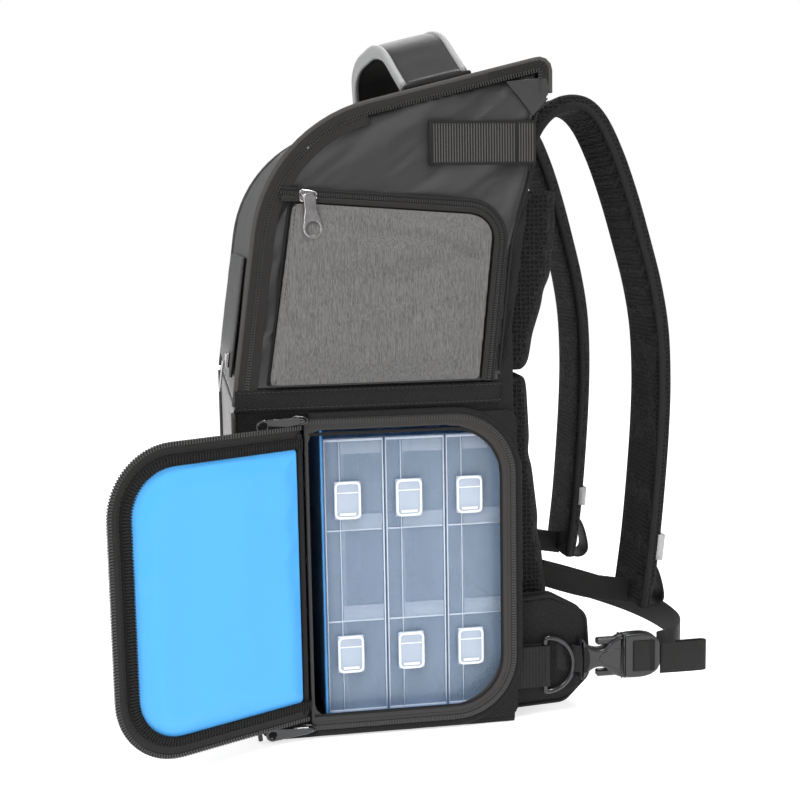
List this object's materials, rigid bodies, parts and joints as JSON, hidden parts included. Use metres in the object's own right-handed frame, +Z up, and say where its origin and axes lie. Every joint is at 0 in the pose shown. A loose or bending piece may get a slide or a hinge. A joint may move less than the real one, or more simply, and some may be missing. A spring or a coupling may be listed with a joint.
{
  "type": "tackle backpack",
  "caption": "Soft-sided tackle backpack: clamshell lid, side bay of upright tackle boxes behind a zipped door, side pockets, padded straps and a buckled hip belt.",
  "frame": {"origin": "middle of the base on the floor", "axes": "+Z up; the front of the pack faces -Y, the back panel and straps +Y, and the open tackle bay +X"},
  "size_m": [0.3799, 0.4436, 0.5236],
  "materials": {
    "air_mesh": "open spacer mesh over foam",
    "ballistic_nylon": "coarse twill",
    "binding": "woven tape",
    "black_metal": "black, glossy",
    "blue_lining": "plain padded lining",
    "clear_plastic": "clear, slightly frosted",
    "coated_fabric": "smooth coated woven fabric, slight sheen",
    "gunmetal": "dark plated",
    "heather_fabric": "flecked two-tone weave",
    "moulded_plastic": "satin",
    "ribbed_webbing": "ribbed webbing"
  },
  "bodies": {
    "pack": {"back_pad_lower": "air_mesh", "back_pad_upper": "air_mesh", "back_panel": "coated_fabric", "base_panel": "ballistic_nylon", "bay_lining": "blue_lining", "bay_slider_lower": "moulded_plastic", "bay_slider_upper": "moulded_plastic", "belt_webbing_far": "ribbed_webbing", "belt_webbing_near": "ribbed_webbing", "buckle_socket": "moulded_plastic", "compartment_floor": "ballistic_nylon", "hip_fin_far": "ballistic_nylon", "hip_fin_near": "ballistic_nylon", "load_tab_far": "ribbed_webbing", "load_tab_near": "ribbed_webbing", "lower_front_panel": "coated_fabric", "lower_webbing_far": "ribbed_webbing", "lower_webbing_near": "ribbed_webbing", "main_slider": "gunmetal", "mouth_hem": "binding", "ring_tab_far": "ribbed_webbing", "ring_tab_near": "ribbed_webbing", "side_panel_far": "coated_fabric", "side_panel_near": "coated_fabric", "side_pocket_far": "heather_fabric", "side_pocket_near": "heather_fabric"},
    "lid": {"lid_shell": "coated_fabric", "front_pocket": "coated_fabric", "front_slider": "gunmetal", "carry_handle": "coated_fabric"},
    "front_pull": {"front_pull": "gunmetal"},
    "door": {"door_panel": "coated_fabric", "door_lining": "blue_lining", "door_zip_tape": "binding"},
    "far_door": {"far_door_panel": "coated_fabric"},
    "pocket_slider": {"pocket_slider": "gunmetal"},
    "pocket_pull": {"pocket_pull": "gunmetal"},
    "bay_pull_upper": {"bay_pull_upper": "moulded_plastic"},
    "bay_pull_lower": {"bay_pull_lower": "moulded_plastic"},
    "main_pull": {"main_pull": "gunmetal"},
    "d_ring_near": {"d_ring_near": "black_metal"},
    "d_ring_far": {"d_ring_far": "black_metal"},
    "buckle_plug": {"buckle_plug": "moulded_plastic", "belt_tail": "ribbed_webbing"},
    "buckle_prong_upper": {"buckle_prong_upper": "moulded_plastic"},
    "buckle_prong_lower": {"buckle_prong_lower": "moulded_plastic"},
    "shoulder_strap_near": {"shoulder_strap_near": "air_mesh"},
    "shoulder_strap_far": {"shoulder_strap_far": "air_mesh"},
    "tackle_box_1": {"tackle_box_1_tray": "clear_plastic", "tackle_box_1_lid": "clear_plastic"},
    "tackle_box_1_latch_upper": {"tackle_box_1_latch_upper": "clear_plastic"},
    "tackle_box_1_latch_lower": {"tackle_box_1_latch_lower": "clear_plastic"},
    "tackle_box_2": {"tackle_box_2_tray": "clear_plastic", "tackle_box_2_lid": "clear_plastic"},
    "tackle_box_2_latch_upper": {"tackle_box_2_latch_upper": "clear_plastic"},
    "tackle_box_2_latch_lower": {"tackle_box_2_latch_lower": "clear_plastic"},
    "tackle_box_3": {"tackle_box_3_tray": "clear_plastic", "tackle_box_3_lid": "clear_plastic"},
    "tackle_box_3_latch_upper": {"tackle_box_3_latch_upper": "clear_plastic"},
    "tackle_box_3_latch_lower": {"tackle_box_3_latch_lower": "clear_plastic"}
  },
  "joints": [
    {"name": "lid_hinge", "type": "hinge", "parent": "pack", "child": "lid", "pos_m": [0, -0.1183, 0.248], "axis": [1, 0, 0], "range_deg": [0, 105]},
    {"name": "front_pull_hinge", "type": "hinge", "parent": "lid", "child": "front_pull", "pos_m": [0.0895, -0.12208, 0.27586], "axis": [-1, 0, 0], "range_deg": [0, 150]},
    {"name": "door_hinge", "type": "hinge", "parent": "pack", "child": "door", "pos_m": [0.1533, -0.0705, 0.124], "axis": [0, 0, -1], "range_deg": [-152, 18]},
    {"name": "far_door_hinge", "type": "hinge", "parent": "pack", "child": "far_door", "pos_m": [-0.1535, -0.0705, 0.124], "axis": [0, 0, 1], "range_deg": [0, 160]},
    {"name": "tackle_box_1_slide", "type": "slide", "parent": "pack", "child": "tackle_box_1", "axis": [1, 0, 0], "range_m": [0, 0.12], "deforming": ["mouth_hem"]},
    {"name": "tackle_box_1_latch_upper_hinge", "type": "hinge", "parent": "tackle_box_1", "child": "tackle_box_1_latch_upper", "pos_m": [0.142, -0.0456, 0.17565], "axis": [0, 0, -1], "range_deg": [0, 100]},
    {"name": "tackle_box_1_latch_lower_hinge", "type": "hinge", "parent": "tackle_box_1", "child": "tackle_box_1_latch_lower", "pos_m": [0.142, -0.0456, 0.05935], "axis": [0, 0, -1], "range_deg": [0, 100]},
    {"name": "tackle_box_2_slide", "type": "slide", "parent": "pack", "child": "tackle_box_2", "axis": [1, 0, 0], "range_m": [0, 0.12], "deforming": ["mouth_hem"]},
    {"name": "tackle_box_2_latch_upper_hinge", "type": "hinge", "parent": "tackle_box_2", "child": "tackle_box_2_latch_upper", "pos_m": [0.142, -0.0001, 0.17565], "axis": [0, 0, -1], "range_deg": [0, 100]},
    {"name": "tackle_box_2_latch_lower_hinge", "type": "hinge", "parent": "tackle_box_2", "child": "tackle_box_2_latch_lower", "pos_m": [0.142, -0.0001, 0.05935], "axis": [0, 0, -1], "range_deg": [0, 100]},
    {"name": "tackle_box_3_slide", "type": "slide", "parent": "pack", "child": "tackle_box_3", "axis": [1, 0, 0], "range_m": [0, 0.12], "deforming": ["mouth_hem"]},
    {"name": "tackle_box_3_latch_upper_hinge", "type": "hinge", "parent": "tackle_box_3", "child": "tackle_box_3_latch_upper", "pos_m": [0.142, 0.0454, 0.17565], "axis": [0, 0, -1], "range_deg": [0, 100]},
    {"name": "tackle_box_3_latch_lower_hinge", "type": "hinge", "parent": "tackle_box_3", "child": "tackle_box_3_latch_lower", "pos_m": [0.142, 0.0454, 0.05935], "axis": [0, 0, -1], "range_deg": [0, 100]},
    {"name": "pocket_slide", "type": "slide", "parent": "pack", "child": "pocket_slider", "axis": [0, 1, 0], "range_m": [0, 0.11]},
    {"name": "pocket_pull_hinge", "type": "hinge", "parent": "pocket_slider", "child": "pocket_pull", "pos_m": [0.1579, -0.061, 0.3978], "axis": [0, -1, 0], "range_deg": [0, 150]},
    {"name": "bay_pull_upper_hinge", "type": "hinge", "parent": "pack", "child": "bay_pull_upper", "pos_m": [0.1568, -0.071, 0.2375], "axis": [0, 0, 1], "range_deg": [0, 170]},
    {"name": "bay_pull_lower_hinge", "type": "hinge", "parent": "pack", "child": "bay_pull_lower", "pos_m": [0.1568, -0.071, 0.0085], "axis": [0, 0, 1], "range_deg": [0, 170]},
    {"name": "main_pull_hinge", "type": "hinge", "parent": "pack", "child": "main_pull", "pos_m": [-0.155, -0.005, 0.45567], "axis": [0, 1, 0], "range_deg": [0, 150]},
    {"name": "d_ring_near_hinge", "type": "hinge", "parent": "pack", "child": "d_ring_near", "pos_m": [0.1455, 0.1113, 0.041], "axis": [0, 0, -1], "range_deg": [0, 100]},
    {"name": "d_ring_far_hinge", "type": "hinge", "parent": "pack", "child": "d_ring_far", "pos_m": [-0.1455, 0.1113, 0.041], "axis": [0, 0, 1], "range_deg": [0, 100]},
    {"name": "buckle_release", "type": "slide", "parent": "pack", "child": "buckle_plug", "axis": [0, 1, 0], "range_m": [0, 0.022], "deforming": ["belt_webbing_far"]},
    {"name": "buckle_prong_upper_flex", "type": "hinge", "parent": "buckle_plug", "child": "buckle_prong_upper", "pos_m": [0.1468, 0.1708, 0.0574], "axis": [1, 0, 0], "range_deg": [0, 6], "stiffness_Nm_per_rad": 0.02},
    {"name": "buckle_prong_lower_flex", "type": "hinge", "parent": "buckle_plug", "child": "buckle_prong_lower", "pos_m": [0.1468, 0.1708, 0.0326], "axis": [-1, 0, 0], "range_deg": [0, 6], "stiffness_Nm_per_rad": 0.02},
    {"name": "shoulder_strap_near_swing", "type": "hinge", "parent": "pack", "child": "shoulder_strap_near", "pos_m": [0, 0.1082, 0.433], "axis": [1, 0, 0], "range_deg": [-8, 6], "deforming": ["lower_webbing_near"]},
    {"name": "shoulder_strap_far_swing", "type": "hinge", "parent": "pack", "child": "shoulder_strap_far", "pos_m": [0, 0.1082, 0.433], "axis": [1, 0, 0], "range_deg": [-8, 6], "deforming": ["lower_webbing_far"]}
  ],
  "couplings": [
    {"joint": "buckle_prong_lower_flex", "follows": "buckle_prong_upper_flex", "ratio": 1}
  ]
}
